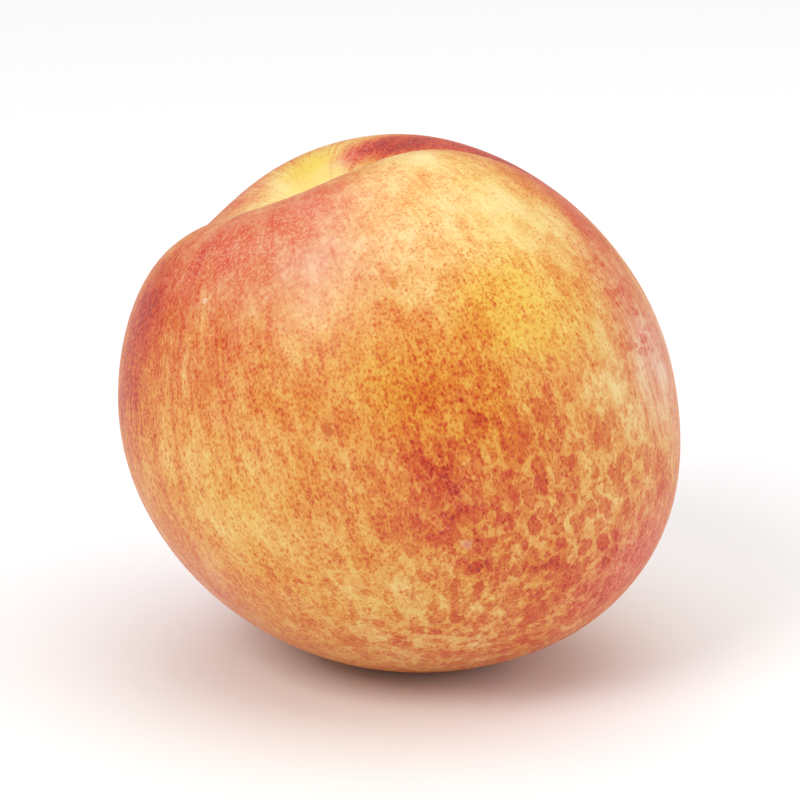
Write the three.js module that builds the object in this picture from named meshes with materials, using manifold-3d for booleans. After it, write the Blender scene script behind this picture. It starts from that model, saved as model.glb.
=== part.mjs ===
// A ripe nectarine with its stalk gone, lying on its blossom end with the stem pit tipped to the left.
// Millimetres, +Z up, the front is towards -Y. The origin is the middle of the flat resting spot.
//
// The skin is one formula. Each direction from the middle of the fruit has a radius: a round fruit plus
// soft swellings. The suture groove and a shallow saddle across from it are taken off along that
// direction, and the stem pit is taken off along the stem axis.
// In the fruit's own frame +Z is the stem, +X the side of the suture and +Y the far cheek.

import * as THREE from 'three';
import { mergeVertices } from 'three/addons/utils/BufferGeometryUtils.js';
import Module from 'manifold-3d';

// the round fruit
const fruitRadius = 34.4;

// how it lies: the stem axis leans from the vertical, towards a compass angle counted from +X,
// and the fruit is rolled about its stem axis
const stemLean = 21.9;
const stemHeading = 161.8;
const sutureRoll = 9.4;

// the stem pit: a narrow well inside a wide dish, depths and half widths
const wellDepth = 6.0;
const wellWidth = 5.2;
const dishDepth = 5.9;
const dishAlongSuture = 12.45;
const dishAcrossSuture = 14.2;
const pitFade = 8;

// the suture groove: deepest on the rim of the pit, faint at the waist, a little deeper at the tip
const grooveRimDepth = 1.75;
const grooveRimAngle = 24;
const grooveRimSpan = 20;
const grooveWaistDepth = 0.45;
const grooveTipDepth = 0.9;
const grooveTipSpan = 30;
const grooveHalfWidth = 7.2;
const creaseShare = 0.35;
const creaseHalfWidth = 2.5;
const grooveFade = 7;

// the saddle on the other side of the pit
const saddleDepth = 2.2;
const saddleAngle = 23;
const saddleSpan = 14;
const saddleHalfWidth = 7.2;
const saddleTurn = -33;

// the small dimple of the blossom end
const blossomDepth = 0.5;
const blossomSpan = 11;

// swellings and flats: angle from the stem, angle around the stem from the suture, rise, spread
const swellings = [
  { name: 'low suture side', fromStem: 145, around: -19, rise: 3.15, spread: 34 },
  { name: 'low left side', fromStem: 128, around: -176, rise: -0.85, spread: 34 },
  { name: 'suture flat', fromStem: 71, around: -1, rise: -0.8, spread: 34 },
  { name: 'left shoulder', fromStem: 48, around: 166, rise: 1.6, spread: 34 },
  { name: 'left waist', fromStem: 94, around: 176, rise: 0.6, spread: 34 },
  { name: 'near shoulder', fromStem: 31, around: -80, rise: 2.05, spread: 26 },
  { name: 'far shoulder', fromStem: 44, around: 74, rise: 4.15, spread: 26 },
  { name: 'far left shoulder', fromStem: 35, around: 99, rise: 0.6, spread: 15 },
];

// the resting spot: this much of the underside is pressed flat, and its middle lies
// this far from under the middle of the fruit
const restFlat = 0.7;
const restRight = 1.6;
const restBack = 0.15;

// the facets: around the stem, and from stem to blossom end with the rings closer near the stem
const facetsAround = 72;
const facetsAlong = 46;
const stemCrowding = 1.2;

const degrees = THREE.MathUtils.degToRad;
const up = new THREE.Vector3(0, 0, 1);

// unit vector at an angle from the stem and an angle around it
function direction(fromStem, around) {
  return new THREE.Vector3(
    Math.sin(fromStem) * Math.cos(around),
    Math.sin(fromStem) * Math.sin(around),
    Math.cos(fromStem),
  );
}

// a bell curve: 1 in the middle, 0.37 at one width
function bell(distance, width) {
  return Math.exp(-((distance / width) ** 2));
}

// radius of the round fruit with its swellings and the blossom dimple
function bodyRadius(way, fromStemDegrees) {
  let radius = fruitRadius;
  for (const swelling of swellings) {
    const middle = direction(degrees(swelling.fromStem), degrees(swelling.around));
    const apart = THREE.MathUtils.radToDeg(way.angleTo(middle));
    radius += swelling.rise * bell(apart, swelling.spread);
  }
  return radius - blossomDepth * bell(180 - fromStemDegrees, blossomSpan);
}

// depth of the suture groove: along the suture's half plane, a soft valley with a sharper crease in it
function grooveDepth(point, fromStemDegrees) {
  const onSide = THREE.MathUtils.smoothstep(point.x, 0, grooveFade);
  const depth =
    grooveRimDepth * bell(fromStemDegrees - grooveRimAngle, grooveRimSpan) +
    grooveWaistDepth +
    (grooveTipDepth - grooveWaistDepth) * bell(180 - fromStemDegrees, grooveTipSpan);
  const valley = (1 - creaseShare) * bell(point.y, grooveHalfWidth);
  const crease = creaseShare * Math.exp(-Math.abs(point.y) / creaseHalfWidth);
  return onSide * depth * (valley + crease);
}

// depth of the saddle in the rim of the pit, in a half plane turned a little from the suture's
function saddleCut(point, fromStemDegrees) {
  const turn = degrees(saddleTurn);
  const along = point.x * Math.cos(turn) + point.y * Math.sin(turn);
  const across = point.y * Math.cos(turn) - point.x * Math.sin(turn);
  const onSide = THREE.MathUtils.smoothstep(-along, 0, grooveFade);
  const overRim = bell(fromStemDegrees - saddleAngle, saddleSpan);
  return onSide * saddleDepth * overRim * bell(across, saddleHalfWidth);
}

// depth of the stem pit under a point of the whole fruit, measured down the stem axis
function pitDepth(point) {
  const onTop = THREE.MathUtils.clamp(point.z / pitFade, 0, 1);
  const well = wellDepth * bell(Math.hypot(point.x, point.y), wellWidth);
  const dish = dishDepth * bell(point.x, dishAlongSuture) * bell(point.y, dishAcrossSuture);
  return onTop * (well + dish);
}

// point of the skin in a given direction from the middle of the fruit
function skinPoint(fromStem, around) {
  const way = direction(fromStem, around);
  const fromStemDegrees = THREE.MathUtils.radToDeg(fromStem);
  const whole = way.clone().multiplyScalar(bodyRadius(way, fromStemDegrees));
  const taken = grooveDepth(whole, fromStemDegrees) + saddleCut(whole, fromStemDegrees);
  const point = whole.clone().addScaledVector(way, -taken);
  point.z -= pitDepth(whole);
  return point;
}

// a unit sphere with its poles on the stem axis, each vertex moved out to the skin
function skinGeometry() {
  const geometry = new THREE.SphereGeometry(1, facetsAround, facetsAlong);
  geometry.rotateX(Math.PI / 2);
  const position = geometry.attributes.position;
  const vertex = new THREE.Vector3();
  for (let i = 0; i < position.count; i += 1) {
    vertex.fromBufferAttribute(position, i).normalize();
    const share = vertex.angleTo(up) / Math.PI;
    const fromStem = Math.PI * share ** stemCrowding;
    const point = skinPoint(fromStem, Math.atan2(vertex.y, vertex.x));
    position.setXYZ(i, point.x, point.y, point.z);
  }
  geometry.deleteAttribute('normal');
  geometry.deleteAttribute('uv');
  return mergeVertices(geometry, 1e-3);
}

// turn the fruit from its own frame to the way it lies
function layDown(geometry) {
  const leanAxis = new THREE.Vector3(
    -Math.sin(degrees(stemHeading)),
    Math.cos(degrees(stemHeading)),
    0,
  );
  const roll = new THREE.Quaternion().setFromAxisAngle(up, degrees(sutureRoll));
  const lean = new THREE.Quaternion().setFromAxisAngle(leanAxis, degrees(stemLean));
  geometry.applyQuaternion(lean.multiply(roll));
}

// a closed geometry with merged vertices as a solid that can be cut
function toSolid(wasm, geometry) {
  return new wasm.Manifold(new wasm.Mesh({
    numProp: 3,
    vertProperties: new Float32Array(geometry.attributes.position.array),
    triVerts: new Uint32Array(geometry.index.array),
  }));
}

// the solid back as a geometry
function toGeometry(solid) {
  const mesh = solid.getMesh();
  const geometry = new THREE.BufferGeometry();
  geometry.setAttribute('position', new THREE.BufferAttribute(mesh.vertProperties, 3));
  geometry.setIndex(new THREE.BufferAttribute(mesh.triVerts, 1));
  return geometry;
}

const wasm = await Module();
wasm.setup();

// the fruit, laid down with its underside just below the floor at z = 0
const skin = skinGeometry();
layDown(skin);
skin.computeBoundingBox();
const floor = skin.boundingBox.min.z + restFlat;
skin.translate(-restRight, -restBack, -floor);

// everything below the floor is cut off, which leaves the flat resting spot
const belowFloor = new THREE.BoxGeometry(120, 120, 20);
belowFloor.translate(0, 0, -10);
belowFloor.deleteAttribute('normal');
belowFloor.deleteAttribute('uv');
const cut = toSolid(wasm, skin).subtract(toSolid(wasm, mergeVertices(belowFloor)));

const fruitSkin = new THREE.MeshStandardMaterial({
  color: new THREE.Color().setRGB(0.886, 0.6, 0.373, THREE.SRGBColorSpace),
  roughness: 0.42,
  metalness: 0,
});

const nectarine = new THREE.Mesh(toGeometry(cut), fruitSkin);
nectarine.name = 'nectarine';

const model = new THREE.Group();
model.add(nectarine);

export default model;
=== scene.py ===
import bpy
import math
import numpy as np
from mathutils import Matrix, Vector


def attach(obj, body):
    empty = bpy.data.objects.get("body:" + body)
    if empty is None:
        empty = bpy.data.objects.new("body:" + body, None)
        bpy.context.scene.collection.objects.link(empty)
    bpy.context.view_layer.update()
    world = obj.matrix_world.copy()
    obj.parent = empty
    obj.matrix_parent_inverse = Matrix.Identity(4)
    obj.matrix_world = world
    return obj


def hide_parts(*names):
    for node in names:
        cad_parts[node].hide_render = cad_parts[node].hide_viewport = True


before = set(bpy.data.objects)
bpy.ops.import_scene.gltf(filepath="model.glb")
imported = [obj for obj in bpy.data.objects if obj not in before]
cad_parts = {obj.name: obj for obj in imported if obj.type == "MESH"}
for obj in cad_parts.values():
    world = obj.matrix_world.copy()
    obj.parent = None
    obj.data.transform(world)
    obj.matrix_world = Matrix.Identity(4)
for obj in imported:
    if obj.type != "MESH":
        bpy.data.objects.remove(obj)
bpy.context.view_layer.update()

mm = 0.001

# shape of the fruit: lengths in mm, angles in degrees
# in the fruit's own frame z is the stem, x the suture side, y the far cheek
fruitShape = {
    "radius": 34.4,
    "stemLean": 21.9, "stemHeading": 161.8, "sutureRoll": 9.4,
    # the stem pit: a narrow well inside a wide dish
    "wellDepth": 6.0, "wellWidth": 5.2,
    "dishDepth": 5.9, "dishAlongSuture": 12.45, "dishAcrossSuture": 14.2, "pitFade": 8.0,
    # the suture groove, and the saddle across from it
    "grooveRimDepth": 1.75, "grooveRimAngle": 24.0, "grooveRimSpan": 20.0,
    "grooveWaistDepth": 0.45, "grooveTipDepth": 0.9, "grooveTipSpan": 30.0,
    "grooveHalfWidth": 7.2, "creaseShare": 0.35, "creaseHalfWidth": 2.5, "grooveFade": 7.0,
    "saddleDepth": 2.2, "saddleAngle": 23.0, "saddleSpan": 14.0, "saddleHalfWidth": 7.2, "saddleTurn": -33.0,
    "blossomDepth": 0.5, "blossomSpan": 11.0,
    # how much of the underside is pressed flat, and where the middle of that spot lies
    "restFlat": 0.7, "restRight": 1.6, "restBack": 0.15,
    # angle from the stem, angle around it from the suture, rise, spread
    "swellings": {
        "lowSutureSide": (145, -19, 3.15, 34),
        "lowLeftSide": (128, -176, -0.85, 34),
        "sutureFlat": (71, -1, -0.8, 34),
        "leftShoulder": (48, 166, 1.6, 34),
        "leftWaist": (94, 176, 0.6, 34),
        "nearShoulder": (31, -80, 2.05, 26),
        "farShoulder": (44, 74, 4.15, 26),
        "farLeftShoulder": (35, 99, 0.6, 15),
    },
    # fine forms: the scar of the stalk with its rim, and wrinkles that wander round it
    "scarDepth": 0.9, "scarRadius": 1.9, "scarRim": 0.35, "scarRimRadius": 2.7, "scarRimWidth": 0.55,
    "wrinkleDepth": 0.14, "wrinkleRadius": 3.6, "wrinkleWidth": 1.7, "wrinkleCount": 11,
    "wanderCount": 3, "wander": 1.5,
    # the blossom's remnant and the thin line in the suture
    "remnantHeight": 0.45, "remnantRadius": 0.9,
    "sutureLineDepth": 0.2, "sutureLineWidth": 0.8, "sutureLineStart": 2.0,
    # soft unevenness: crossed waves, each with its counts along x, y and z and its start
    "unevenness": 0.07, "waves": ((7, 3, 0, 1.0), (0, 6, -5, 2.0), (4, 0, 8, 4.0)),
    "stemSide": 60.0,    # what lies nearer than this to the stem belongs to the pit
    "pointsAround": 384, "pointsAlong": 250, "stemCrowding": 1.2,
}


def bell(distance, width):
    # 1 in the middle, 0.37 at one width: exp(-(distance / width)^2)
    return np.exp(-(distance / width) ** 2)


def smoothStep(value, low, high):
    # 0 below low, 1 above high, with 3t^2 - 2t^3 between
    t = np.clip((value - low) / (high - low), 0.0, 1.0)
    return t * t * (3 - 2 * t)


def direction(fromStem, around):
    # unit vectors (sin a cos b, sin a sin b, cos a)
    x = np.sin(fromStem) * np.cos(around)
    y = np.sin(fromStem) * np.sin(around)
    return np.stack([x, y, np.cos(fromStem)], -1)


def anglesTo(ways, fromStem, around):
    # degrees between each direction and one named direction
    middle = direction(math.radians(fromStem), math.radians(around))
    return np.degrees(np.arccos(np.clip(ways @ middle, -1, 1)))


def turnMatrix(axis, angle):
    # turning about a unit axis: cos I + sin [axis] + (1 - cos) axis axis^T
    x, y, z = axis
    cross = np.array([[0, -z, y], [z, 0, -x], [-y, x, 0]])
    cos, sin = math.cos(angle), math.sin(angle)
    return cos * np.eye(3) + sin * cross + (1 - cos) * np.outer(axis, axis)


def grooveDepth(shape, x, y, degreesFromStem):
    # (bell at the rim + waist + bell at the tip) * (soft valley + sharper crease), on the suture's side
    tipRise = shape["grooveTipDepth"] - shape["grooveWaistDepth"]
    depth = (shape["grooveRimDepth"] * bell(degreesFromStem - shape["grooveRimAngle"], shape["grooveRimSpan"])
             + shape["grooveWaistDepth"] + tipRise * bell(180 - degreesFromStem, shape["grooveTipSpan"]))
    valley = (1 - shape["creaseShare"]) * bell(y, shape["grooveHalfWidth"])
    crease = shape["creaseShare"] * np.exp(-np.abs(y) / shape["creaseHalfWidth"])
    return smoothStep(x, 0, shape["grooveFade"]) * depth * (valley + crease)


def saddleCut(shape, x, y, degreesFromStem):
    # depth * bell over the rim * bell across, in a half plane turned a little from the suture's
    turn = math.radians(shape["saddleTurn"])
    along = x * math.cos(turn) + y * math.sin(turn)
    across = y * math.cos(turn) - x * math.sin(turn)
    overRim = bell(degreesFromStem - shape["saddleAngle"], shape["saddleSpan"])
    onSide = smoothStep(-along, 0, shape["grooveFade"])
    return onSide * shape["saddleDepth"] * overRim * bell(across, shape["saddleHalfWidth"])


def pitDepth(shape, x, y, z):
    # well bell + dish bell, on the stem's side only
    well = shape["wellDepth"] * bell(np.hypot(x, y), shape["wellWidth"])
    dish = shape["dishDepth"] * bell(x, shape["dishAlongSuture"]) * bell(y, shape["dishAcrossSuture"])
    return np.clip(z / shape["pitFade"], 0, 1) * (well + dish)


def fruitSkin(shape, fromStem, around):
    # whole = way * (radius + swellings - blossom dimple)
    # groove and saddle come off along way, the pit off along z
    way = direction(fromStem, around)
    degreesFromStem = np.degrees(fromStem)
    radius = np.full(fromStem.shape, shape["radius"])
    for a, b, rise, spread in shape["swellings"].values():
        radius = radius + rise * bell(anglesTo(way, a, b), spread)
    radius = radius - shape["blossomDepth"] * bell(180 - degreesFromStem, shape["blossomSpan"])
    whole = way * radius[..., None]
    x, y, z = whole[..., 0], whole[..., 1], whole[..., 2]
    taken = grooveDepth(shape, x, y, degreesFromStem) + saddleCut(shape, x, y, degreesFromStem)
    points = whole - way * taken[..., None]
    points[..., 2] -= pitDepth(shape, x, y, z)
    return points + fineForms(shape, way, fromStem, around)


def sutureLine(shape, way):
    # 1 on the suture, fading over its width to both sides and towards the stem
    onSide = smoothStep(shape["radius"] * way[..., 0], shape["sutureLineStart"], shape["grooveFade"])
    return onSide * bell(shape["radius"] * way[..., 1], shape["sutureLineWidth"])


def fineForms(shape, way, fromStem, around):
    # along z near the stem: rim bell - scar bell + wrinkles
    # along way: crossed waves + remnant bell - suture line
    fromAxis = shape["radius"] * np.sin(fromStem)
    nearStem = fromStem < math.radians(shape["stemSide"])
    wander = shape["wander"] * np.sin(shape["wanderCount"] * around)
    wrinkles = np.sin(shape["wrinkleCount"] * around + wander)
    wrinkles = wrinkles * bell(fromAxis - shape["wrinkleRadius"], shape["wrinkleWidth"])
    rise = nearStem * (shape["scarRim"] * bell(fromAxis - shape["scarRimRadius"], shape["scarRimWidth"])
                       - shape["scarDepth"] * bell(fromAxis, shape["scarRadius"])
                       + shape["wrinkleDepth"] * wrinkles)
    waves = sum(np.sin(way @ np.array(counts) + start) for *counts, start in shape["waves"])
    remnant = ~nearStem * shape["remnantHeight"] * bell(fromAxis, shape["remnantRadius"])
    outward = shape["unevenness"] * waves + remnant - shape["sutureLineDepth"] * sutureLine(shape, way)
    return way * outward[..., None] + np.array([0, 0, 1.0]) * rise[..., None]


def lieDown(shape, points):
    # roll about the stem, lean towards the heading, then the lowest part pressed flat on z = 0
    heading = math.radians(shape["stemHeading"])
    leanAxis = np.array([-math.sin(heading), math.cos(heading), 0.0])
    roll = turnMatrix(np.array([0, 0, 1.0]), math.radians(shape["sutureRoll"]))
    turn = turnMatrix(leanAxis, math.radians(shape["stemLean"])) @ roll
    laid = points @ turn.T
    floorLevel = laid[..., 2].min() + shape["restFlat"]
    laid = laid - np.array([shape["restRight"], shape["restBack"], floorLevel])
    laid[..., 2] = np.maximum(laid[..., 2], 0.0)
    return laid


def onePoleEach(grid):
    # the grid's first and last rows are one point each, the rows between stay whole
    return np.concatenate([grid[:1, 0], grid[1:-1].reshape(-1, *grid.shape[2:]), grid[-1:, 0]])


def closedMesh(name, points, attributes):
    # rings from pole to pole, each ring closed on itself, one fan of triangles at each pole
    rings, sectors = points.shape[0] - 2, points.shape[1]
    vertices = onePoleEach(points)
    ring = np.arange(rings * sectors).reshape(rings, sectors) + 1
    following = np.roll(ring, -1, axis=1)
    quads = np.stack([ring[:-1], ring[1:], following[1:], following[:-1]], -1).reshape(-1, 4)
    top = np.stack([np.zeros(sectors, int), ring[0], following[0]], -1)
    bottom = np.stack([np.full(sectors, rings * sectors + 1), following[-1], ring[-1]], -1)
    loops = np.concatenate([top.ravel(), quads.ravel(), bottom.ravel()])
    sizes = np.concatenate([np.full(len(top), 3), np.full(len(quads), 4), np.full(len(bottom), 3)])
    starts = np.concatenate([[0], np.cumsum(sizes)[:-1]])
    mesh = bpy.data.meshes.new(name)
    mesh.vertices.add(len(vertices))
    mesh.vertices.foreach_set("co", (vertices * mm).astype(np.float32).ravel())
    mesh.loops.add(len(loops))
    mesh.loops.foreach_set("vertex_index", loops.astype(np.int32))
    mesh.polygons.add(len(sizes))
    mesh.polygons.foreach_set("loop_start", starts.astype(np.int32))
    mesh.update(calc_edges=True)
    mesh.polygons.foreach_set("use_smooth", np.ones(len(sizes), bool))
    for title, values in attributes.items():
        flat = onePoleEach(values)
        kind, field = ("FLOAT", "value") if flat.ndim == 1 else ("FLOAT_VECTOR", "vector")
        layer = mesh.attributes.new(title, kind, "POINT")
        layer.data.foreach_set(field, flat.astype(np.float32).ravel())
    mesh.validate()
    piece = bpy.data.objects.new(name, mesh)
    bpy.context.collection.objects.link(piece)
    return piece


# where the colours lie on the skin
# base amounts, then patches: (angle from the stem, angle around it, spread, changes)
# blush: red over yellow; blotch: spots rather than stipple; gold: golden rather than cream;
# pink: pink rather than orange red; streak: lines that run from stem to tip;
# scales: crisp islands of blush with pale cracks between them
skinPattern = {
    "base": {"blush": 0.5, "blotch": 0.25, "gold": 0.5, "pink": 0.15, "streak": 0.25, "scales": 0.0},
    "patches": {
        # the pit and its far rim
        "pitWalls": (10, 85, 19, {"blush": -0.56, "gold": -0.1, "streak": 0.6, "blotch": -0.3}),
        "pitYellow": (19, 84, 6, {"gold": 0.5, "blush": -0.08}),
        "pitLeftStreaks": (28, 123, 8, {"pink": 0.6, "blush": 0.02, "streak": 0.5}),
        "pitRightStreaks": (16, 60, 4, {"pink": 0.4, "blush": 0.15, "streak": 0.5}),
        "farRim": (37, 85, 9, {"blush": 0.16}),
        # the red band that crosses the suture's shoulder, and the scaly skin below its end
        "redBandStart": (18, 49, 5, {"blush": 0.5, "pink": 0.3, "streak": 0.4}),
        "redBand": (23, 28, 7, {"blush": 0.75, "pink": -0.05, "streak": 0.4}),
        "redBandMiddle": (34, 17, 8, {"blush": 0.28, "pink": 0.25}),
        "redBandRight": (45, 3, 9, {"blush": 0.42, "pink": 0.25}),
        "bandEnd": (53, -10, 8, {"blush": 0.3, "pink": 0.45, "streak": 0.3}),
        "bandTail": (64, -19, 7, {"blush": 0.2, "pink": 0.5, "streak": 0.3}),
        "rightScales": (77, -28, 9, {"scales": 1.0, "pink": 0.55, "blush": 0.1, "streak": -0.2}),
        "rightScalesLow": (91, -32, 8, {"scales": 1.0, "pink": 0.4, "blush": 0.06, "streak": -0.2}),
        # the pale cap and the near lip of the pit, partly painted highlight where the light falls on them
        "nearLip": (29, -100, 9, {"blush": 0.1, "pink": 0.5}),
        "lipPale": (35, -74, 8, {"blush": -0.14, "gold": -0.2}),
        # yellow crest of the near lobe made paler cream: partly its own colour, partly a painted highlight
        "nearCrestAndPaintedHighlight": (29, -48, 7, {"blush": -0.3, "gold": -0.2}),
        # pale cream cap: partly the skin's own colour, partly painted sheen from the lights above
        "creamCapAndPaintedSheen": (50, -48, 15, {"blush": -0.32, "gold": -0.1}),
        "creamRight": (63, -36, 9, {"blush": -0.1, "gold": -0.1}),
        "capRight": (48, -30, 8, {"blush": 0.09}),
        # painted highlight: pinker and paler skin where the key light's broad sheen falls
        "paintedSheenPink": (44, -108, 14, {"pink": 0.8, "blush": -0.08}),
        "paintedSheenLow": (58, -106, 9, {"blush": -0.08}),
        # the left cheek
        "leftShoulder": (34, -140, 14, {"blush": 0.17, "pink": 0.65, "streak": 0.5}),
        "leftCheek": (60, -140, 14, {"blush": -0.02, "pink": 0.15, "streak": 0.4}),
        "crimsonPatch": (48, -167, 9, {"blush": 0.34, "pink": 0.15}),
        # red left edge: partly the skin's own red, partly a painted reflection of red surroundings
        "leftEdgeRedAndPaintedReflection": (66, -172, 11, {"blush": 0.21, "pink": -0.3, "streak": 0.5}),
        "leftStipple": (61, -137, 9, {"blush": 0.1}),
        "leftMiddle": (76, -152, 9, {"blush": -0.08}),
        "lowerLeft": (92, -136, 15, {"blush": -0.16, "gold": 0.05}),
        "bottomLeft": (110, -165, 14, {"blush": -0.02, "pink": 0.6}),
        # the golden middle with its orange heart
        "paleMiddle": (50, -84, 12, {"blush": -0.13, "gold": -0.2}),
        "paleMiddleLow": (60, -76, 8, {"blush": -0.07, "gold": -0.1}),
        "aboveHeart": (72, -95, 10, {"blush": -0.07, "gold": 0.15}),
        "orangeHeart": (80, -92, 9, {"blush": 0.08, "gold": 0.35}),
        "goldenPatch": (72, -64, 12, {"gold": 0.5, "blush": -0.15}),
        "goldenLow": (84, -58, 8, {"blush": -0.1}),
        "rightGold": (80, -46, 8, {"blush": -0.12}),
        "rustHeart": (93, -94, 7, {"blush": 0.08, "gold": 0.1}),
        "rustHeartRight": (90, -79, 8, {"blush": 0.03, "blotch": 0.1, "gold": 0.3}),
        # the spotted belly
        "spottedBelly": (119, -72, 30, {"blotch": 0.75, "blush": 0.1}),
        "bellyHigh": (98, -70, 6, {"blush": -0.06}),
        "bellyRight": (113, -50, 9, {"blush": -0.07}),
        "bellyLow": (126, -98, 7, {"blush": -0.05}),
        "bellyEnd": (149, -78, 10, {"blush": -0.07, "blotch": 0.2}),
        "lensPale": (117, -58, 7, {"blush": -0.13, "gold": -0.15}),
        "lowMiddle": (107, -94, 11, {"blush": 0.1}),
        "lowYellow": (117, -112, 14, {"blush": -0.11, "blotch": 0.2}),
        # the right side and the blossom end
        "paleRight": (96, -48, 9, {"blush": -0.2, "gold": -0.25}),
        "rightPale": (107, -38, 8, {"blush": -0.1, "gold": -0.15}),
        "rightEdge": (98, -24, 14, {"blush": -0.1, "pink": 0.7, "streak": 0.4, "gold": -0.2}),
        "lowRightRed": (136, -42, 13, {"blush": 0.14, "pink": 0.6}),
        "lowRightDark": (139, -53, 7, {"blush": 0.1}),
        "bottom": (137, -118, 14, {"blush": -0.04, "gold": -0.1, "blotch": 0.4, "streak": -0.2}),
        "tip": (165, -80, 22, {"blush": 0.07, "pink": 0.25, "blotch": 0.4, "streak": -0.25}),
        # the far side
        "farCheek": (78, 105, 46, {"blush": 0.5, "pink": 0.2, "streak": 0.35, "blotch": 0.1}),
        "sutureFlank": (90, 30, 20, {"blush": 0.2}),
    },
    # grains and spots are a little longer from stem to tip than across, and streaks far longer
    "stretchAlong": 0.68, "fanStretch": 0.12,
    "beyondScar": 50.0,    # mm added to the distance from the stem axis outside the pit
}


def skinAmounts(pattern, fromStem, around):
    # each amount = base + sum of change * bell(angle to the patch, spread), kept in 0 to 1
    way = direction(fromStem, around)
    amounts = {title: np.full(fromStem.shape, value) for title, value in pattern["base"].items()}
    for a, b, spread, changes in pattern["patches"].values():
        near = bell(anglesTo(way, a, b), spread)
        for title, change in changes.items():
            amounts[title] = amounts[title] + change * near
    return {title: np.clip(values, 0, 1) for title, values in amounts.items()}


def skinCoordinates(shape, pattern, fromStem, around):
    # alongSkin = R (sin a cos b, sin a sin b, stretchAlong a); fan = R (cos b, sin b, fanStretch a)
    across = direction(fromStem, around)[..., :2]
    alongSkin = np.concatenate([across, (pattern["stretchAlong"] * fromStem)[..., None]], -1)
    fan = np.stack([np.cos(around), np.sin(around), pattern["fanStretch"] * fromStem], -1)
    return {"alongSkin": shape["radius"] * alongSkin, "fan": shape["radius"] * fan}


def nectarineFruit(shape, pattern):
    # the skin on a grid of angles: pi share^crowding from the stem, whole turns around it
    share = np.linspace(0, 1, shape["pointsAlong"])
    turns = np.linspace(0, 2 * math.pi, shape["pointsAround"], endpoint=False)
    fromStem, around = np.meshgrid(math.pi * share ** shape["stemCrowding"], turns, indexing="ij")
    own = fruitSkin(shape, fromStem, around)
    attributes = skinAmounts(pattern, fromStem, around)
    attributes.update(skinCoordinates(shape, pattern, fromStem, around))
    attributes["suture"] = sutureLine(shape, direction(fromStem, around))
    outsidePit = fromStem > math.radians(shape["stemSide"])
    attributes["fromAxis"] = np.hypot(own[..., 0], own[..., 1]) + outsidePit * pattern["beyondScar"]
    return closedMesh("nectarineFruit", lieDown(shape, own), attributes)


fruit = nectarineFruit(fruitShape, skinPattern)
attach(fruit, "root")
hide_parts("nectarine")
print("fruit", len(fruit.data.vertices), "points")


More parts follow.
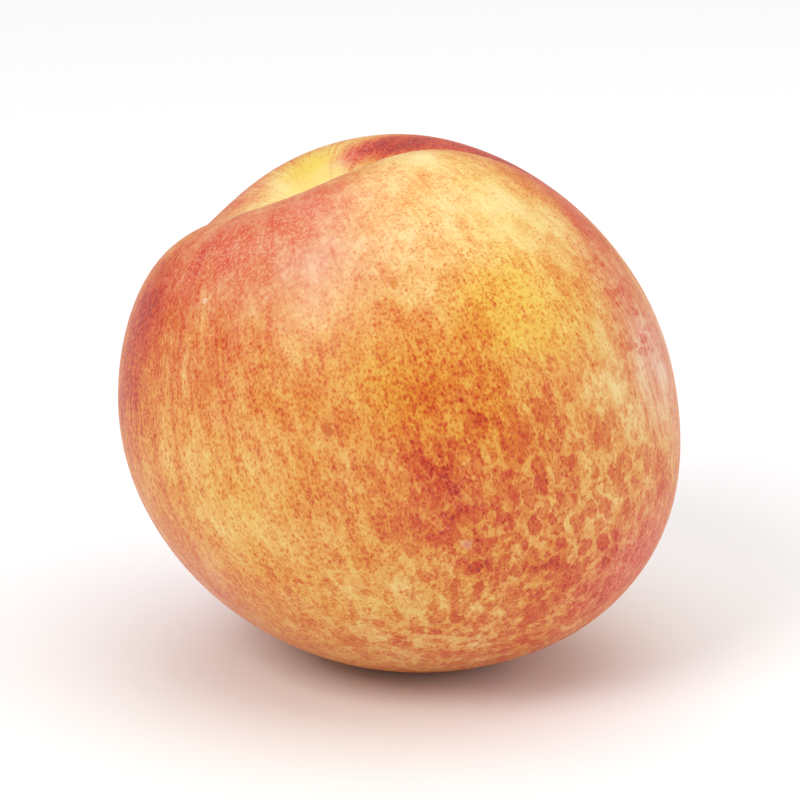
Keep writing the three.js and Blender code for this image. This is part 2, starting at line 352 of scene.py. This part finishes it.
# the skin's finish: sizes and reaches in mm unless said otherwise, noise as (size, octaves, roughness)
# edge: the two values between which a pattern comes in
skinFinish = {
    # yellow to red, by how much blush lies over the ground colour
    "orangeRange": [(0.0, (0.86, 0.66, 0.21)), (0.25, (0.81, 0.46, 0.10)), (0.45, (0.74, 0.27, 0.038)),
                    (0.65, (0.64, 0.13, 0.02)), (0.85, (0.56, 0.052, 0.012)), (1.0, (0.38, 0.02, 0.01))],
    "pinkRange": [(0.0, (0.87, 0.68, 0.32)), (0.25, (0.80, 0.44, 0.23)), (0.45, (0.73, 0.235, 0.12)),
                  (0.65, (0.69, 0.12, 0.06)), (0.85, (0.61, 0.038, 0.023)), (1.0, (0.39, 0.011, 0.012))],
    "ground": {"cream": (1.0, 1.08, 1.5), "gold": (0.95, 0.92, 0.44), "byClouds": 0.5, "edge": (0.1, 0.95)},
    # what makes the blush uneven
    "clouds": {"noise": (4.5, 2.0, 0.5), "depth": 0.38},
    "clusters": {"noise": (1.7, 4.0, 0.62), "taller": (1.0, 1.0, 0.5), "edge": (0.40, 0.58), "depth": 0.13},
    "uneven": {"plain": 0.45, "byBlotch": 0.8},
    "lines": {"noise": (0.7, 3.0, 0.6), "depth": 0.8},
    "bands": {"noise": (3.4, 2.0, 0.5), "depth": 0.6},
    # deeper red along the suture: partly the skin's own red, partly painted shade in the crease; then the
    # soft limit on the level
    "sutureRedAndShade": 0.1, "deepest": 0.97, "deepestSoftness": 0.3,
    # noises that ruffle the edges of spots and grains
    "ruffle": (1.4, 3.0, 0.6), "fineRuffle": (0.9, 1.0, 0.5),
    # reaches of grains, spots, scales and pores are in shares of a cell
    "mottle": {"noise": (0.30, 1.0, 0.5), "depth": 2.0},
    "grains": {"sizes": (0.38, 0.54), "ruffled": 0.4,
               "reach": 0.03, "reachByLevel": 0.36, "reachByChance": 0.32, "edge": (-0.10, 0.18),
               "depth": 0.18, "plain": 0.7, "byGold": 0.7, "byPink": -0.8,
               "unblotched": 1.1, "byBlotch": -0.4, "levelEdge": (-0.05, 0.35), "onYellow": 0.4},
    "spots": {"sizes": (2.2, 1.25), "ruffled": 1.8,
              "reach": 0.02, "reachByLevel": 0.45, "reachByChance": 0.36, "edge": (-0.02, 0.14),
              "rimEdge": (0.24, 0.10), "fill": 0.7, "rim": 0.35, "smallShare": 0.9,
              "depth": 0.30, "gap": -0.15},
    "scales": {"size": 1.5, "flatter": (0.6, 0.6, 1.5), "ruffled": 1.1, "reach": 0.26, "reachByChance": 0.30,
               "edge": (0.0, 0.09), "depth": 0.24, "crack": -0.14},
    "netting": {"noise": (0.45, 2.0, 0.6), "edge": (0.48, 0.62), "share": 0.4, "color": (0.86, 0.52, 0.30)},
    "pores": {"spacing": 1.15, "reach": 0.09, "reachByChance": 0.10, "edge": (0.0, 0.06),
              "levelEdge": (0.6, 1.0), "shares": (0.05, 0.5), "color": (0.92, 0.66, 0.42)},
    # crisp-edged patches of deeper blush: angle from the stem, angle around it, reach, rise
    "flushes": {
        "rustUpper": (92, -96, 2.1, 0.11),
        "rustLower": (98, -90, 1.7, 0.12),
        "rustFaint": (104, -97, 3.3, 0.08),
        "rustRight": (86, -81, 2.2, 0.08),
    },
    # single flecks and scuffs: angle from the stem, angle around it, reach, strength, colour
    "marks": {
        "paleScuff": (47, -138, 0.5, 0.45, (0.90, 0.78, 0.55)),
        "orangeFleck": (57, -86, 0.5, 0.7, (0.66, 0.22, 0.03)),
        "capFleck": (41, -51, 0.6, 0.6, (0.74, 0.30, 0.04)),
        "roundSpot": (80, -110, 0.7, 0.7, (0.58, 0.14, 0.03)),
        "blossomRemnant": (180, 0, 0.8, 0.85, (0.20, 0.09, 0.04)),
        # a pale smudge on the belly
        "bellyPaleSmudge": (113, -92, 0.8, 0.28, (0.85, 0.62, 0.42)),
    },
    "discRuffled": 1.8, "discCore": 0.75,    # in shares of the reach of a flush or a mark
    "scar": {"noise": (0.5, 3.0, 0.6), "ragged": 1.2, "reach": 3.2, "fade": 0.5, "heartEdge": (1.4, 2.9),
             "color": (0.33, 0.17, 0.06), "heart": (0.12, 0.05, 0.02), "duller": 0.4, "relief": 6.0},
    "gloss": {"roughness": 0.38, "uneven": 0.14, "noise": (1.3, 3.0, 0.6), "specular": 0.3,
              "coatWeight": 0.06, "coatRoughness": 0.25},
    "flesh": {"weight": 0.08, "radius": (1.8, 0.6, 0.25)},
    "relief": {"noise": (0.8, 2.0, 0.55), "height": 0.03, "strength": 0.6},
}


def plug(tree, node, name, value):
    # a socket is linked, anything else is set on the input
    if isinstance(value, bpy.types.NodeSocket):
        tree.links.new(value, node.inputs[name])
    elif value is not None:
        node.inputs[name].default_value = value


def mathOf(tree, operation, a, b=None, c=None, clamp=False):
    # the operation on a, b and c
    node = tree.nodes.new("ShaderNodeMath")
    node.operation, node.use_clamp = operation, clamp
    for index, value in enumerate((a, b, c)):
        plug(tree, node, index, value)
    return node.outputs[0]


def plus(tree, a, b):
    # a + b
    return mathOf(tree, "ADD", a, b)


def minus(tree, a, b):
    # a - b
    return mathOf(tree, "SUBTRACT", a, b)


def times(tree, a, b):
    # a * b
    return mathOf(tree, "MULTIPLY", a, b)


def ramped(tree, value, slope, start):
    # value * slope + start
    return mathOf(tree, "MULTIPLY_ADD", value, slope, start)


def attributeOf(tree, name, output="Fac"):
    # the piece's own attribute
    node = tree.nodes.new("ShaderNodeAttribute")
    node.attribute_name = name
    return node.outputs[output]


def noiseOf(tree, vector, noise, output="Fac"):
    # soft noise from 0 to 1
    size, octaves, roughness = noise
    node = tree.nodes.new("ShaderNodeTexNoise")
    plug(tree, node, "Vector", vector)
    plug(tree, node, "Scale", 1.0 / size)
    plug(tree, node, "Detail", octaves)
    plug(tree, node, "Roughness", roughness)
    return node.outputs[output]


def centredNoise(tree, vector, noise):
    # noise - 0.5
    return minus(tree, noiseOf(tree, vector, noise), 0.5)


def cellsOf(tree, vector, size):
    # distance from the middle of the nearest cell, in cells, and that cell's own chance number
    node = tree.nodes.new("ShaderNodeTexVoronoi")
    plug(tree, node, "Vector", vector)
    plug(tree, node, "Scale", 1.0 / size)
    chance = tree.nodes.new("ShaderNodeSeparateColor")
    plug(tree, chance, 0, node.outputs["Color"])
    return node.outputs["Distance"], chance.outputs[0]


def softEdge(tree, value, edge, toLow=0.0, toHigh=1.0):
    # smooth step from toLow at the first value of the edge to toHigh at the second
    node = tree.nodes.new("ShaderNodeMapRange")
    node.interpolation_type = "SMOOTHSTEP"
    names = ("Value", "From Min", "From Max", "To Min", "To Max")
    for name, item in zip(names, (value, *edge, toLow, toHigh)):
        plug(tree, node, name, item)
    return node.outputs[0]


def colorRange(tree, value, stops):
    # smooth colour ramp through the stops
    node = tree.nodes.new("ShaderNodeValToRGB")
    ramp = node.color_ramp
    ramp.interpolation = "CARDINAL"
    while len(ramp.elements) < len(stops):
        ramp.elements.new(0.5)
    for element, (place, color) in zip(ramp.elements, stops):
        element.position, element.color = place, (*color, 1)
    plug(tree, node, "Fac", value)
    return node.outputs["Color"]


def blend(tree, share, a, b, kind="MIX"):
    # colour a turned into colour b, or multiplied by it, by the share; 6, 7 and 2 are the colour sockets
    node = tree.nodes.new("ShaderNodeMix")
    node.data_type, node.blend_type = "RGBA", kind
    plug(tree, node, 0, share)
    for index, value in ((6, a), (7, b)):
        plug(tree, node, index, (*value, 1) if isinstance(value, tuple) else value)
    return node.outputs[2]


def vectorMath(tree, operation, a, b, c=None):
    # the operation on the vectors a, b and c
    node = tree.nodes.new("ShaderNodeVectorMath")
    node.operation = operation
    for index, value in enumerate((a, b, c)):
        plug(tree, node, index, value)
    return node.outputs["Value" if operation == "DISTANCE" else "Vector"]


def shifted(tree, vector, other, amount):
    # vector + (other - 0.5) * amount, to ruffle the edges of a pattern
    centred = vectorMath(tree, "SUBTRACT", other, (0.5, 0.5, 0.5))
    return vectorMath(tree, "MULTIPLY_ADD", centred, (amount, amount, amount), vector)


def raggedDisc(tree, finish, ways, middle, reach, amount):
    # amount within reach of one place on the skin, 0 outside, with a ruffled edge
    ruffled = shifted(tree, ways["along"], ways["ruffle"], reach * finish["discRuffled"])
    apart = vectorMath(tree, "DISTANCE", ruffled, middle)
    return softEdge(tree, apart, (reach, reach * finish["discCore"]), 0.0, amount)


def blushLevel(tree, finish, amounts, ways, clouds, flushes):
    # blush + uneven * (clouds + clusters) + streak * (lines + bands) + suture red with painted crease shade +
    # flushes, under a soft limit
    clusters, lines, bands = finish["clusters"], finish["lines"], finish["bands"]
    uneven = ramped(tree, amounts["blotch"], finish["uneven"]["byBlotch"], finish["uneven"]["plain"])
    taller = vectorMath(tree, "MULTIPLY", ways["along"], clusters["taller"])
    clustered = softEdge(tree, noiseOf(tree, taller, clusters["noise"]), clusters["edge"], -0.5, 0.5)
    level = ramped(tree, times(tree, clouds, uneven), finish["clouds"]["depth"], amounts["blush"])
    level = ramped(tree, times(tree, clustered, uneven), clusters["depth"], level)
    for layer in (lines, bands):
        depth = times(tree, amounts["streak"], layer["depth"])
        level = ramped(tree, centredNoise(tree, ways["fan"], layer["noise"]), depth, level)
    # painted shade in the suture crease, laid on as deeper red over the skin's own red there
    level = ramped(tree, amounts["suture"], finish["sutureRedAndShade"], level)
    for middle, reach, rise in flushes:
        level = plus(tree, level, raggedDisc(tree, finish, ways, middle, reach, rise))
    return mathOf(tree, "SMOOTH_MIN", level, finish["deepest"], finish["deepestSoftness"])


def stipple(tree, finish, amounts, ways, level):
    # (fine mottle + round dots in each size, larger where there is more blush - 0.5) * depth
    # the depth grows with gold and blush and sinks with pink and blotch
    grains, mottle = finish["grains"], finish["mottle"]
    dots = times(tree, centredNoise(tree, ways["along"], mottle["noise"]), mottle["depth"])
    ruffled = shifted(tree, ways["along"], ways["fineRuffle"], grains["ruffled"])
    for size in grains["sizes"]:
        distance, chance = cellsOf(tree, ruffled, size)
        reach = ramped(tree, level, grains["reachByLevel"], grains["reach"])
        reach = ramped(tree, chance, grains["reachByChance"], reach)
        dots = plus(tree, dots, softEdge(tree, minus(tree, reach, distance), grains["edge"]))
    depth = times(tree, ramped(tree, amounts["gold"], grains["byGold"], grains["plain"]),
                  softEdge(tree, level, grains["levelEdge"], grains["onYellow"], 1.0))
    unpinked = ramped(tree, amounts["pink"], grains["byPink"], 1.0)
    unblotched = ramped(tree, amounts["blotch"], grains["byBlotch"], grains["unblotched"])
    depth = times(tree, depth, times(tree, unpinked, unblotched))
    return times(tree, minus(tree, dots, 0.5), times(tree, depth, grains["depth"]))


def spotted(tree, finish, amounts, ways, level):
    # ragged cells, large and small, each its own size, darker at the rim; blotch * (depth * spots + gap)
    spots = finish["spots"]
    ragged = shifted(tree, ways["along"], ways["ruffle"], spots["ruffled"])
    layers = []
    for size in spots["sizes"]:
        distance, chance = cellsOf(tree, ragged, size)
        reach = ramped(tree, level, spots["reachByLevel"], spots["reach"])
        reach = ramped(tree, chance, spots["reachByChance"], reach)
        inside = minus(tree, reach, distance)
        spot = softEdge(tree, inside, spots["edge"])
        rim = times(tree, spot, softEdge(tree, inside, spots["rimEdge"]))
        layers.append(ramped(tree, rim, spots["rim"], times(tree, spot, spots["fill"])))
    large, small = layers
    both = mathOf(tree, "MAXIMUM", large, times(tree, small, spots["smallShare"]))
    return times(tree, amounts["blotch"], ramped(tree, both, spots["depth"], spots["gap"]))


def scaly(tree, finish, amounts, ways):
    # flat cells that nearly touch, with pale cracks between them; scales * (depth * inside + crack)
    scales = finish["scales"]
    flatter = vectorMath(tree, "MULTIPLY", ways["along"], scales["flatter"])
    ragged = shifted(tree, flatter, ways["ruffle"], scales["ruffled"])
    distance, chance = cellsOf(tree, ragged, scales["size"])
    reach = ramped(tree, chance, scales["reachByChance"], scales["reach"])
    inside = softEdge(tree, minus(tree, reach, distance), scales["edge"])
    return times(tree, amounts["scales"], ramped(tree, inside, scales["depth"], scales["crack"]))


def groundedColor(tree, finish, amounts, ways, clouds, red):
    # orange or pink range by the red, a pale net over the pink, then cream or golden by the ground
    netting, ground = finish["netting"], finish["ground"]
    orange = colorRange(tree, red, finish["orangeRange"])
    color = blend(tree, amounts["pink"], orange, colorRange(tree, red, finish["pinkRange"]))
    net = softEdge(tree, noiseOf(tree, ways["along"], netting["noise"]), netting["edge"])
    net = times(tree, net, times(tree, amounts["pink"], netting["share"]))
    color = blend(tree, net, color, netting["color"])
    golden = softEdge(tree, ramped(tree, clouds, ground["byClouds"], amounts["gold"]), ground["edge"])
    return blend(tree, 1.0, color, blend(tree, golden, ground["cream"], ground["gold"]), "MULTIPLY")


def withPores(tree, finish, ways, level, color):
    # pale breathing pores: small cells, clearer where the skin is redder
    pores = finish["pores"]
    distance, chance = cellsOf(tree, ways["along"], pores["spacing"])
    reach = ramped(tree, chance, pores["reachByChance"], pores["reach"])
    pore = softEdge(tree, minus(tree, reach, distance), pores["edge"])
    share = times(tree, pore, softEdge(tree, level, pores["levelEdge"], *pores["shares"]))
    return blend(tree, share, color, pores["color"])


def nectarineSkin(finish, flushes, marks):
    # red = level + stipple + spots, coloured, with pores, marks and the stem scar over it
    material = bpy.data.materials.new("nectarineSkin")
    material.use_nodes = True
    tree = material.node_tree
    shader = tree.nodes["Principled BSDF"]
    titles = ("blush", "blotch", "gold", "pink", "streak", "scales", "suture")
    amounts = {title: attributeOf(tree, title) for title in titles}
    along = attributeOf(tree, "alongSkin", "Vector")
    ways = {"along": along, "fan": attributeOf(tree, "fan", "Vector"),
            "ruffle": noiseOf(tree, along, finish["ruffle"], "Color"),
            "fineRuffle": noiseOf(tree, along, finish["fineRuffle"], "Color")}

    clouds = centredNoise(tree, along, finish["clouds"]["noise"])
    level = blushLevel(tree, finish, amounts, ways, clouds, flushes)
    dots = stipple(tree, finish, amounts, ways, level)
    dots = plus(tree, dots, spotted(tree, finish, amounts, ways, level))
    level = plus(tree, level, scaly(tree, finish, amounts, ways))
    red = mathOf(tree, "ADD", level, dots, clamp=True)
    color = groundedColor(tree, finish, amounts, ways, clouds, red)
    color = withPores(tree, finish, ways, level, color)
    for middle, reach, strength, markColor in marks:
        color = blend(tree, raggedDisc(tree, finish, ways, middle, reach, strength), color, markColor)

    # the dry scar where the stalk came off
    scar, gloss, relief = finish["scar"], finish["gloss"], finish["relief"]
    ragged = noiseOf(tree, along, scar["noise"])
    scarEdge = plus(tree, attributeOf(tree, "fromAxis"), times(tree, ragged, scar["ragged"]))
    inScar = softEdge(tree, scarEdge, (scar["reach"], scar["reach"] - scar["fade"]))
    scarTone = blend(tree, softEdge(tree, scarEdge, scar["heartEdge"]), scar["heart"], scar["color"])
    tree.links.new(blend(tree, inScar, color, scarTone), shader.inputs["Base Color"])

    # satin gloss, duller in the scar
    rough = ramped(tree, noiseOf(tree, along, gloss["noise"]), gloss["uneven"], gloss["roughness"])
    tree.links.new(ramped(tree, inScar, scar["duller"], rough), shader.inputs["Roughness"])
    shader.inputs["Specular IOR Level"].default_value = gloss["specular"]
    shader.inputs["Coat Weight"].default_value = gloss["coatWeight"]
    shader.inputs["Coat Roughness"].default_value = gloss["coatRoughness"]
    shader.inputs["Subsurface Weight"].default_value = finish["flesh"]["weight"]
    shader.inputs["Subsurface Radius"].default_value = finish["flesh"]["radius"]
    shader.inputs["Subsurface Scale"].default_value = mm

    # faint orange-peel relief, deeper in the scar
    height = ramped(tree, times(tree, ragged, inScar), scar["relief"], noiseOf(tree, along, relief["noise"]))
    bump = tree.nodes.new("ShaderNodeBump")
    plug(tree, bump, "Height", height)
    bump.inputs["Distance"].default_value = relief["height"] * mm
    bump.inputs["Strength"].default_value = relief["strength"]
    tree.links.new(bump.outputs["Normal"], shader.inputs["Normal"])
    return material


def placed(spots):
    # the two angles of each spot turned into its place in the alongSkin coordinates
    result = []
    for a, b, *rest in spots.values():
        fromStem, around = np.array(math.radians(a)), np.array(math.radians(b))
        place = skinCoordinates(fruitShape, skinPattern, fromStem, around)["alongSkin"]
        result.append((place.tolist(), *rest))
    return result


skinMaterial = nectarineSkin(skinFinish, placed(skinFinish["flushes"]), placed(skinFinish["marks"]))
fruit.data.materials.append(skinMaterial)
print("skin finish", len(skinMaterial.node_tree.nodes), "nodes")

# floor, light and camera
stage = {
    # camera: metres, degrees, pixels in the frame's side, mm of sensor, metres of view
    "cameraDistance": 0.56, "cameraElevation": 18.0, "pixelsPerMm": 7.87, "framePixels": 800,
    "sensorWidth": 36.0, "nearAndFar": (0.01, 50.0),
    "aim": (-1.7, 0.0, 34.0),    # mm
    "floorHalfSize": 6.0, "floorColor": (0.94, 0.94, 0.94, 1), "floorRoughness": 0.8,
    "roomColor": (1, 1, 1, 1), "roomLight": 0.45,
    # place in metres, side in metres, watts; all face the fruit
    "softBoxes": {
        "keyBox": ((-0.5, -0.55, 0.72), 0.45, 4.2),
        "topBox": ((0.1, 0.15, 1.0), 1.2, 6.1),
        "sideBox": ((0.85, -0.25, 0.45), 0.7, 2.1),
    },
}


def studioFloor(size, color, roughness):
    # a flat square on z = 0, of plain pale paper
    mesh = bpy.data.meshes.new("studioFloor")
    corners = [(-size, -size, 0), (size, -size, 0), (size, size, 0), (-size, size, 0)]
    mesh.from_pydata(corners, [], [(0, 1, 2, 3)])
    piece = bpy.data.objects.new("studioFloor", mesh)
    bpy.context.collection.objects.link(piece)
    paper = bpy.data.materials.new("studioPaper")
    paper.use_nodes = True
    shader = paper.node_tree.nodes["Principled BSDF"]
    shader.inputs["Base Color"].default_value = color
    shader.inputs["Roughness"].default_value = roughness
    mesh.materials.append(paper)
    return piece


def facing(thing, place, target):
    # the object put into the scene at its place, with its -Z towards the target
    thing.location = place
    thing.rotation_mode = "QUATERNION"
    thing.rotation_quaternion = (Vector(target) - Vector(place)).to_track_quat("-Z", "Y")
    bpy.context.collection.objects.link(thing)


def softBox(name, place, target, size, power):
    # a square area light that faces its target
    light = bpy.data.lights.new(name, "AREA")
    light.energy, light.size = power, size
    facing(bpy.data.objects.new(name, light), place, target)


def photoCamera(view):
    # in front of the aim and above it by the elevation; lens = sensor * distance * pixels per metre / frame
    camera = bpy.data.cameras.new("camera")
    eye = bpy.data.objects.new("camera", camera)
    elevation = math.radians(view["cameraElevation"])
    aim = Vector(view["aim"]) * mm
    back = Vector((0, -math.cos(elevation), math.sin(elevation)))
    facing(eye, aim + back * view["cameraDistance"], aim)
    camera.sensor_width = view["sensorWidth"]
    pixelsPerMetre = view["pixelsPerMm"] / mm
    camera.lens = view["sensorWidth"] * view["cameraDistance"] * pixelsPerMetre / view["framePixels"]
    camera.clip_start, camera.clip_end = view["nearAndFar"]
    return eye


floor = studioFloor(stage["floorHalfSize"], stage["floorColor"], stage["floorRoughness"])
for name, (place, size, power) in stage["softBoxes"].items():
    softBox(name, place, (0, 0, stage["aim"][2] * mm), size, power)
world = bpy.data.worlds.new("studioRoom")
bpy.context.scene.world = world
world.use_nodes = True
world.node_tree.nodes["Background"].inputs["Color"].default_value = stage["roomColor"]
world.node_tree.nodes["Background"].inputs["Strength"].default_value = stage["roomLight"]
bpy.context.scene.camera = photoCamera(stage)
bpy.context.scene.view_settings.view_transform = "Standard"
print("floor, light and camera")
